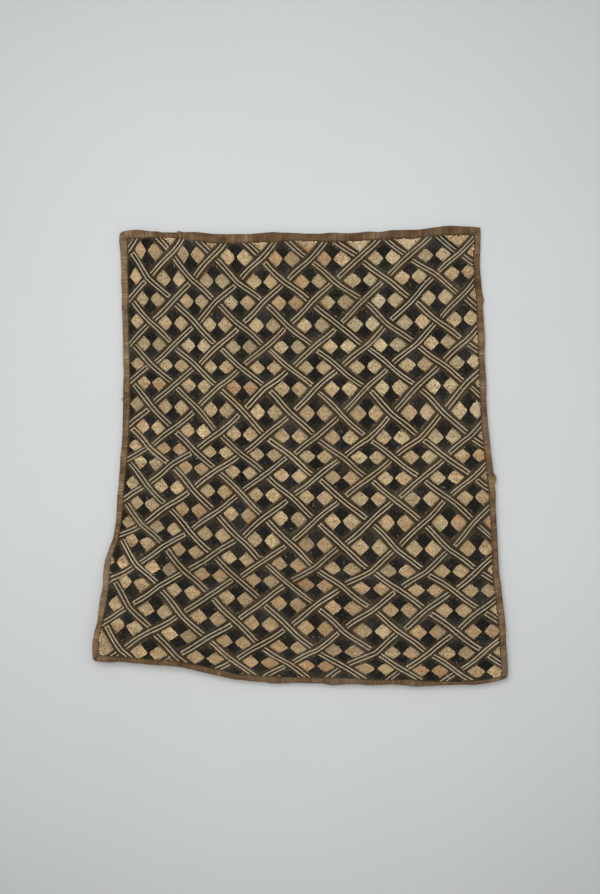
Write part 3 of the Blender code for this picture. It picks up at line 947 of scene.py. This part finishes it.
def makeStraps():
    part = strapwork
    pale, dark = [], []
    paleDyes, darkDyes = [], []
    dive = part["dive"]
    swayHeight, swayWave, swaySpread = part["sway"]
    bowHeight, bowWave, bowSpread = part["bow"]
    for column, halfRow in netPlaces(odd=0):
        fall = 1 if column % 2 else -1
        t = np.linspace(-dive, dive, part["routePoints"])
        x, drop = netPoint(column + t, halfRow + fall * t)
        if roomInside(x, drop).max() < 0:
            continue
        walked = np.concatenate(([0.0], np.cumsum(np.hypot(np.diff(x), np.diff(drop)))))
        sideX = -np.gradient(drop, walked)
        sideDrop = np.gradient(x, walked)
        sway = random.normal(0, swaySpread) + swayHeight * np.sin(walked / swayWave + random.uniform(0, 6.3))
        cream = shaded(raffiaColours["creamLine"], 0.07, 0.02)
        brown = shaded(raffiaColours["darkLine"], 0.25, 0.04)
        for aside, width, isPale in part["lines"]:
            inset = (part["paleStop"] if isPale else 0.0) + (part["middleStop"] if aside == 0 else 0.0)
            first = inset + random.uniform(*part["endGap"])
            last = walked[-1] - inset - random.uniform(*part["endGap"])
            at = np.linspace(first, last, max(2, round((last - first) / part["stitchPitch"])))
            at = at + random.normal(0, part["pitchSpread"], len(at))
            bow = aside + sway + random.normal(0, bowSpread)
            bow = bow + bowHeight * np.sin(walked / bowWave + random.uniform(0, 6.3))
            stitchX = np.interp(at, walked, x + sideX * bow)
            stitchDrop = np.interp(at, walked, drop + sideDrop * bow)
            heading = np.arctan2(np.interp(at, walked, sideX), np.interp(at, walked, sideDrop))
            room = roomInside(stitchX, stitchDrop)
            for spotX, spotDrop, angle, free in zip(stitchX, stitchDrop, heading, room):
                if free < part["leastRoom"]:
                    continue
                length = part["stitchLength"] * random.uniform(0.88, 1.1)
                length = min(length, 2.0 * free + 1.6)
                tall = part["stitchHeight"] * random.uniform(0.85, 1.15)
                turn = angle + math.radians(part["slant"] + random.normal(0, part["slantSpread"]))
                base = part["stitchBase"] + tall * 0.36
                wide = width * random.uniform(0.9, 1.12)
                (pale if isPale else dark).append((spotX, spotDrop, base, turn, length, wide, tall, 0.0))
                tint = cream if isPale else brown
                level = 1.0 + random.normal(0, 0.07 if isPale else 0.2)
                (paleDyes if isPale else darkDyes).append([value * level for value in tint])
        corner = part["endTurn"]
        for back in (corner["back"], walked[-1] - corner["back"]):
            if random.uniform() > corner["share"]:
                continue
            turnX = np.interp(back, walked, x + sideX * sway)
            turnDrop = np.interp(back, walked, drop + sideDrop * sway)
            if roomInside(turnX, turnDrop) < corner["room"]:
                continue
            angle = math.atan2(-np.interp(back, walked, sideDrop), np.interp(back, walked, sideX))
            pale.append((turnX, turnDrop, corner["base"], angle, corner["length"], corner["width"],
                         corner["height"], 0.0))
            paleDyes.append(cream)
    paleLines = joinedCopies("pale_lines", stitchShape(), pale, paleDyes, "creamStitch", 0.45)
    darkLines = joinedCopies("dark_lines", stitchShape(), dark, darkDyes, "darkStitch", 0.3)
    return paleLines, darkLines


straps = makeStraps()
print("strapwork stitched:", sum(len(line.data.polygons) for line in straps), "faces")


# cut pile between the straps

pile = {
    "across": 1.9,
    "down": 1.6,
    "height": 1.4,
    "groundTop": 0.45,
    "creamReach": 0.71,
    "creamTip": 0.06,
    "blackReach": 0.712,
    # the cells cut off by the head edge are cream all over, and the one in the lower left corner
    "creamHalfRow": -1,
    "creamCell": (0, 19),
    "waist": (0.036, 0.06),
    "shoulder": (0.348, 0.362),
    "curve": (1.1, 1.6),
    "raggedness": 0.008,
    "edgeMargin": 0.6,
    "splitDrop": 300.0,
    "bare": 0.002,
    "flecks": 0.035,
    "blackLevel": 0.82,
    # fine slanting cords in the cream: distance apart, strength
    "cords": (3.0, 0.1),
    # the rim of a block is mixed toward brown, darker for cream and lighter for black: where it starts, how
    # far in, strength
    "rim": {"start": 0.58, "depth": 0.1, "cream": 0.45, "black": 0.6},
    # slow changes of the cream's colour over the cloth: wave length, direction in degrees, strength
    "tanning": ((150.0, 20.0, 0.3), (83.0, 75.0, 0.3), (47.0, 130.0, 0.35), (19.0, 40.0, 0.3),
                (11.0, 160.0, 0.25)),
    # paler and darker parts of the cloth, partly bleached and browned raffia and partly painted light and
    # shade: centre, centre drop, half width, half length, lightening
    "fadeAndPaintedLight": (
        (95, 60, 70, 130, 0.85), (205, 240, 70, 110, 0.6), (-110, 150, 50, 70, 0.4), (90, 260, 40, 50, 0.5),
        (0, 590, 330, 130, -0.9), (-5, 230, 40, 50, -0.6), (-10, 20, 40, 40, -0.45), (0, 450, 40, 45, -0.35),
        (-240, 40, 60, 130, -0.35), (110, 540, 30, 40, 0.9),
    ),
    # how much full lightening, from bleaching and painted light, lifts red, green and blue
    "fadeAndLightLift": (0.15, 0.24, 0.31),
}


def mixed(first, second, share):
    return np.array(first) * (1 - share) + np.array(second) * share


def tanAt(x, drop):
    # how far the cream has browned at a spot
    share = 0.0
    for length, direction, strength in pile["tanning"]:
        turn = math.radians(direction)
        ahead = (x * math.cos(turn) + drop * math.sin(turn)) / length
        aside = (drop * math.cos(turn) - x * math.sin(turn)) / length
        share = share + strength * np.sin(2 * math.pi * ahead + 1.6 * np.sin(5.1 * aside))
    return share


def fadeAndLightAt(x, drop):
    # how far the cream is made paler, or darker below zero, partly by bleaching and browning and partly as
    # painted light and shade
    share = 0.0
    for centre, middle, width, length, strength in pile["fadeAndPaintedLight"]:
        share = share + strength * np.exp(-((x - centre) / width) ** 2 - ((drop - middle) / length) ** 2)
    return share


def edgeInset(b, side, curves, waists):
    # share from a diamond's upright middle to the inner edge of its cream
    shoulderA, shoulderB = pile["shoulder"]
    rise = min(abs(b) / shoulderB, 1.6)
    return waists[side] + (shoulderA - waists[side]) * rise ** curves[2 * side + (b > 0)]


def pileRows(column, halfRow):
    # rows of tufts over one diamond: share across, share down, length, width, turn, whether cream
    part = pile
    beside = netPoint(column + np.array((-1, 1)), halfRow)[0]
    above, below = netPoint(column, halfRow + np.array((-1, 1)))[1]
    pitchA, pitchB = np.ptp(beside) / 2, (below - above) / 2
    waists = random.uniform(*part["waist"], 2)
    curves = random.uniform(*part["curve"], 4)
    count = round(part["creamReach"] * pitchB / part["down"])
    rowStep = part["creamReach"] / (count + 0.4)
    deep = rowStep * pitchB
    rows = []
    for step in range(-count, count + 1):
        b = step * rowStep
        ends = []
        for near in (b - 0.5 * rowStep, b, b + 0.5 * rowStep):
            inner = [edgeInset(near, side, curves, waists) for side in (0, 1)]
            outer = part["creamReach"] - math.hypot(near, part["creamTip"])
            edge = part["blackReach"] - abs(near)
            black = (-min(inner[0], edge), min(inner[1], edge))
            ends.append(((-outer, -inner[0]), (inner[1], outer), black))
        for span, isCream in enumerate((True, True, False)):
            isCream = isCream or halfRow == part["creamHalfRow"] or (column, halfRow) == part["creamCell"]
            low, high = (end + random.normal(0, part["raggedness"]) for end in ends[1][span])
            tufts = round((high - low) * pitchA / part["across"])
            if tufts < 1:
                continue
            wide = (high - low) / tufts
            for k in range(tufts):
                if tufts < 3 or 0 < k < tufts - 1:
                    rows.append((low + (k + 0.5) * wide, b, wide * pitchA, deep, 0.0, isCream))
                    continue
                # the last tuft of a row is laid along the block's edge
                which = 0 if k == 0 else 1
                alongX = (ends[2][span][which] - ends[0][span][which]) * pitchA
                run = math.hypot(alongX, deep)
                outX = (-1 if which == 0 else 1) * deep / run
                outDown = -outX * alongX / deep
                back = 0.42 * part["across"]
                spotA = (high if which else low) - outX * back / pitchA
                rows.append((spotA, b - outDown * back / pitchB, min(run, 1.6 * deep), 0.84 * part["across"],
                             math.atan2(-deep, alongX), isCream))
    return np.array(rows)


def rimmed(tone, a, b, kind):
    # a tuft near its block's rim is mixed toward brown
    rim = pile["rim"]
    share = min(max((abs(a) + abs(b) - rim["start"]) / rim["depth"], 0.0), 1.0) * rim[kind]
    return mixed(tone, raffiaColours[kind + "Rim"], share)


def makePile():
    part = pile
    piles = {name: ([], []) for name in ("cream_upper", "cream_lower", "black_upper", "black_lower")}
    tipsA, tipsB = np.array(((-0.7, 0, 0.7, 0), (0, -0.7, 0, 0.7)))
    cordPitch, cordStrength = part["cords"]
    for column, halfRow in netPlaces(odd=1):
        tips = netPoint(column + tipsA, halfRow + tipsB)
        if roomInside(*tips).max() < 0:
            continue
        rows = pileRows(column, halfRow)
        x, drop = netPoint(column + rows[:, 0], halfRow + rows[:, 1])
        kept = roomInside(x, drop) > part["edgeMargin"]
        kept &= random.uniform(size=len(rows)) > part["bare"]
        tan = tanAt(x, drop) + random.normal(-0.15, 0.35)
        # partly bleached and browned raffia, partly painted light and shade: paler upper right, darker middle
        # stripe and foot
        fadedAndLit = 1.0 + fadeAndLightAt(x, drop)[:, None] * part["fadeAndLightLift"]
        tones = {
            True: [shaded(raffiaColours["cream"], 0.12, 0.018) for _ in (0, 1)],
            False: [shaded(raffiaColours["black"], 0.28, 0.04) for _ in (0, 1)],
        }
        for at in np.flatnonzero(kept):
            a, b, length, width, turn, isCream = rows[at]
            kind = "cream" if isCream else "black"
            tone = tones[bool(isCream)][int((a if isCream else b) > 0)]
            if isCream:
                level = 1.0 + random.normal(0, 0.16)
                level += cordStrength * math.sin(2 * math.pi * (0.75 * x[at] + 0.66 * drop[at]) / cordPitch)
                brown = raffiaColours["creamTan"] if halfRow % 3 else raffiaColours["creamRust"]
                tone = mixed(tone, brown, min(max(tan[at], 0.0), 0.75)) * fadedAndLit[at]
            else:
                level = part["blackLevel"] * math.exp(random.normal(0, 0.75))
            tint = rimmed(tone, a, b, kind) * level
            if isCream and random.uniform() < part["flecks"]:
                tint = shaded(raffiaColours["speck"], 0.2)
            half = "upper" if drop[at] < part["splitDrop"] else "lower"
            places, copyColours = piles[kind + "_" + half]
            places.append((
                x[at] + random.normal(0, 0.1), drop[at] + random.normal(0, 0.1), part["groundTop"],
                turn + random.normal(0, 0.08), length * random.uniform(0.98, 1.1),
                width * random.uniform(0.98, 1.1), part["height"] + random.normal(0, 0.12),
                random.normal(0, 0.08)))
            copyColours.append(tint)
    made = []
    for name, (places, copyColours) in piles.items():
        finish = "creamPile" if name.startswith("cream") else "blackPile"
        made.append(joinedCopies("pile_" + name, tuftShape(), places, copyColours, finish, 0.5))
    return made


piles = makePile()
print("pile cut:", sum(len(piece.data.polygons) for piece in piles), "faces")


# hem stitches over each binding's inner edge, and stray ends of raffia

sewing = {
    "pitch": 4.3,
    "length": 4.2,
    "width": 1.1,
    "height": 0.8,
    "slant": 52.0,
    "climb": 0.9,
    "base": 1.05,
    "slantSpread": 9.0,
    "pitchSpread": 0.5,
    "cornerGap": 2.0,
    "missing": 0.06,
}


def makeHem():
    part = sewing
    places, copyColours = [], []
    for strip in bindings["strips"].values():
        deepest = max(strip["width"][0][1], strip["width"][-1][1])
        run = edgeRun(strip["edge"])
        begin = float(stripCut(strip, "begins", deepest)) + part["cornerGap"]
        finish = run - float(stripCut(strip, "ends", deepest)) - part["cornerGap"]
        at = np.arange(begin, finish, part["pitch"])
        at = at + random.normal(0, part["pitchSpread"], len(at))
        inward = stripWidth(strip, at)
        x, drop = stripSpot(strip["edge"], at, inward + 0.2)
        outX, outDrop = stripSpot(strip["edge"], at, inward - 1.0)
        towards = np.arctan2(-(outDrop - drop), outX - x)
        for spotX, spotDrop, angle in zip(x, drop, towards):
            if random.uniform() < part["missing"]:
                continue
            turn = angle + math.radians(part["slant"] + random.normal(0, part["slantSpread"]))
            length = part["length"] * random.uniform(0.8, 1.25)
            places.append((spotX, spotDrop, part["base"], turn, length, part["width"], part["height"],
                           part["climb"]))
            copyColours.append(shaded(raffiaColours["darkLine"], 0.25, 0.05))
    return joinedCopies("hem_stitches", stitchShape(), places, copyColours, "darkStitch", 0.2)


looseFibres = {
    "count": 240,
    "across": (-240, 262),
    "down": (14, 596),
    "room": 5.0,
    "paleShare": 0.6,
    "base": 2.0,
    "length": (2.5, 6.5),
    "width": (0.3, 0.55),
    "height": 0.4,
    "climbSpread": 0.2,
}


def makeWisps():
    # short loose fibres caught on the face
    part = looseFibres
    places, copyColours = [], []
    while len(places) < part["count"]:
        x, drop = random.uniform(*part["across"]), random.uniform(*part["down"])
        if roomInside(x, drop) < part["room"]:
            continue
        pale = random.uniform() < part["paleShare"]
        colour = raffiaColours["creamLine"] if pale else raffiaColours["speck"]
        places.append((x, drop, part["base"], random.uniform(0, math.pi), random.uniform(*part["length"]),
                       random.uniform(*part["width"]), part["height"], random.normal(0, part["climbSpread"])))
        copyColours.append(shaded(colour, 0.1, 0.03))
    return joinedCopies("loose_fibres", stitchShape(), places, copyColours, "creamStitch", 0.1)


hem = makeHem()
wisps = makeWisps()
print("hem sewn")


def makeThread(name, route, radius, finish, colour):
    # a stray thread end: route holds right of the middle, drop and height off the ground
    curve = bpy.data.curves.new(name, "CURVE")
    curve.dimensions = "3D"
    curve.bevel_depth = radius * toMetres
    curve.bevel_resolution = 2
    curve.use_fill_caps = True
    curve.resolution_u = 6
    spline = curve.splines.new("BEZIER")
    spline.bezier_points.add(len(route) - 1)
    for point, (x, drop, height) in zip(spline.bezier_points, route):
        point.co = clothPoint(x, drop, height)
        point.handle_left_type = "AUTO"
        point.handle_right_type = "AUTO"
    spline.bezier_points[0].radius = 0.7
    spline.bezier_points[-1].radius = 0.35
    shaper = bpy.data.objects.new(name + "_route", curve)
    bpy.context.collection.objects.link(shaper)
    view = bpy.context.evaluated_depsgraph_get()
    mesh = bpy.data.meshes.new_from_object(shaper.evaluated_get(view))
    mesh.name = name
    bpy.data.objects.remove(shaper, do_unlink=True)
    bpy.data.curves.remove(curve)
    mesh.materials.clear()
    layer = mesh.attributes.new("dye_and_painted_light", "FLOAT_COLOR", "POINT")
    layer.data.foreach_set("color", np.tile((*colour, 1.0), len(mesh.vertices)))
    mesh.shade_smooth()
    return addPiece(name, mesh, (finish,))


# finish, colour, radius and route of each
threadEnds = {
    "thread_left": (
        "darkStitch", "darkLine", 0.45,
        ((-235.5, 225.5, 1.9), (-238.6, 224.6, 1.2), (-240.6, 226.2, 0.8), (-239.2, 227.8, 0.6))),
    "thread_foot": (
        "creamStitch", "creamLine", 0.4,
        ((197, 596, 2.1), (199.5, 599.5, 2.4), (203, 601.5, 2.3), (205.5, 600.2, 2.0))),
    "thread_foot_left": (
        "creamStitch", "creamLine", 0.4,
        ((-178, 572, 2.0), (-176.5, 576, 2.4), (-173, 577.2, 2.2))),
}
threads = [makeThread(name, route, radius, finish, raffiaColours[colour])
           for name, (finish, colour, radius, route) in threadEnds.items()]

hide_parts("panel")


# backdrop, floor, lights and camera

stage = {
    "backdropPlace": 0.0024,
    "backdropHalfWidth": 1.6,
    "backdropTop": 1.4,
    "floorHeight": -1.3,
    "backdropColour": srgb(209, 211, 211),
    # painted light falloff: the backdrop darkens away from this spot: right, up, and how fast with the
    # distance squared
    "paintedBackdropFalloff": (0.0, -0.27, 0.42),
    "floorColour": srgb(214, 213, 208),
    "key": {"place": (-0.4, -2.2, 0.3), "aim": (0.0, 0.0, -0.15), "size": 1.9, "power": 37.0},
    "fill": {"place": (1.5, -2.6, -0.1), "aim": (0.0, 0.0, -0.3), "size": 2.6, "power": 8.0},
    "rear": {"place": (0.6, 2.2, 0.8), "aim": (0.0, 0.0, -0.3), "size": 1.8, "power": 40.0},
    "worldStrength": 0.42,
    "cameraDistance": 2.0115,
    "clothPlane": -0.008,
    "cameraHeight": -0.290,
    "lens": 60.0,
}


def makeBackdrop():
    part = stage
    made = bpy.data.materials.new("backdrop_paint")
    made.use_nodes = True
    tree = made.node_tree
    shader = tree.nodes["Principled BSDF"]
    shader.inputs["Roughness"].default_value = 0.75
    shader.inputs["Specular IOR Level"].default_value = 0.2
    place = tree.nodes.new("ShaderNodeTexCoord").outputs["Object"]
    blotch = mapRange(tree, noiseAt(tree, place, 3.0), 0.3, 0.7, 0.0, 1.0)
    colour = part["backdropColour"]
    darker = tuple(value * 0.97 for value in colour)
    tone = mixColour(tree, "MIX", blotch, (*colour, 1.0), (*darker, 1.0))
    # painted light falloff: darker with the distance from the brightest spot
    right, up, fade = part["paintedBackdropFalloff"]
    reach = tree.nodes.new("ShaderNodeVectorMath")
    reach.operation = "DISTANCE"
    tree.links.new(place, reach.inputs[0])
    reach.inputs[1].default_value = (right, part["backdropPlace"], up)
    squared = mathNode(tree, "POWER", reach.outputs["Value"], 2.0)
    share = mathNode(tree, "MULTIPLY", squared, fade, clamp=True)
    tree.links.new(mixColour(tree, "MIX", share, tone, (0.0, 0.0, 0.0, 1.0)), shader.inputs["Base Color"])
    # from behind, and for the light behind, the backdrop isn't there
    path = tree.nodes.new("ShaderNodeLightPath")
    geometry = tree.nodes.new("ShaderNodeNewGeometry")
    unseen = mathNode(tree, "MULTIPLY", geometry.outputs["Backfacing"], path.outputs["Is Camera Ray"])
    clear = mathNode(tree, "MAXIMUM", unseen, path.outputs["Is Shadow Ray"])
    glass = tree.nodes.new("ShaderNodeBsdfTransparent")
    choose = tree.nodes.new("ShaderNodeMixShader")
    tree.links.new(clear, choose.inputs[0])
    tree.links.new(shader.outputs[0], choose.inputs[1])
    tree.links.new(glass.outputs[0], choose.inputs[2])
    tree.links.new(choose.outputs[0], tree.nodes["Material Output"].inputs["Surface"])
    low, high = part["floorHeight"], part["backdropTop"]
    bm = bmesh.new()
    bmesh.ops.create_grid(bm, x_segments=1, y_segments=1, size=1.0)
    for vert in bm.verts:
        vert.co = Vector((vert.co.x * part["backdropHalfWidth"], part["backdropPlace"],
                          low + (vert.co.y + 1.0) / 2.0 * (high - low)))
    mesh = meshFrom("backdrop", bm)
    mesh.materials.append(made)
    backdrop = bpy.data.objects.new("backdrop", mesh)
    bpy.context.collection.objects.link(backdrop)
    backdrop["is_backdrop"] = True
    return backdrop


def makeFloor():
    part = stage
    made = bpy.data.materials.new("floor_paint")
    made.use_nodes = True
    shader = made.node_tree.nodes["Principled BSDF"]
    shader.inputs["Base Color"].default_value = (*part["floorColour"], 1.0)
    shader.inputs["Roughness"].default_value = 0.8
    bm = bmesh.new()
    bmesh.ops.create_grid(bm, x_segments=1, y_segments=1, size=6.0)
    for vert in bm.verts:
        vert.co.z = part["floorHeight"]
    mesh = meshFrom("floor", bm)
    mesh.materials.append(made)
    floor = bpy.data.objects.new("floor", mesh)
    bpy.context.collection.objects.link(floor)
    floor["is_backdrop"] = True
    return floor


def makeLight(name):
    part = stage[name]
    lamp = bpy.data.lights.new(name + "_light", "AREA")
    lamp.shape = "DISK"
    lamp.size = part["size"]
    lamp.energy = part["power"]
    made = bpy.data.objects.new(name + "_light", lamp)
    bpy.context.collection.objects.link(made)
    made.location = part["place"]
    towards = Vector(part["aim"]) - Vector(part["place"])
    made.rotation_euler = towards.to_track_quat("-Z", "Y").to_euler()
    return made


def makeWorld():
    world = bpy.data.worlds.new("studio")
    world.use_nodes = True
    background = world.node_tree.nodes["Background"]
    background.inputs["Color"].default_value = (0.93, 0.97, 1.0, 1.0)
    background.inputs["Strength"].default_value = stage["worldStrength"]
    bpy.context.scene.world = world


def makeCamera():
    lens = bpy.data.cameras.new("camera")
    lens.lens = stage["lens"]
    camera = bpy.data.objects.new("camera", lens)
    bpy.context.collection.objects.link(camera)
    camera.location = (0.0, stage["clothPlane"] - stage["cameraDistance"], stage["cameraHeight"])
    camera.rotation_euler = (math.radians(90), 0.0, 0.0)
    bpy.context.scene.camera = camera


makeBackdrop()
makeFloor()
for name in ("key", "fill", "rear"):
    makeLight(name)
makeWorld()
makeCamera()
bpy.context.scene.view_settings.view_transform = "Standard"
print("stage set")

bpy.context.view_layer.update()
triangles = sum(len(face.vertices) - 2 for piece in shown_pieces() for face in piece.data.polygons)
print("triangles in all:", triangles)
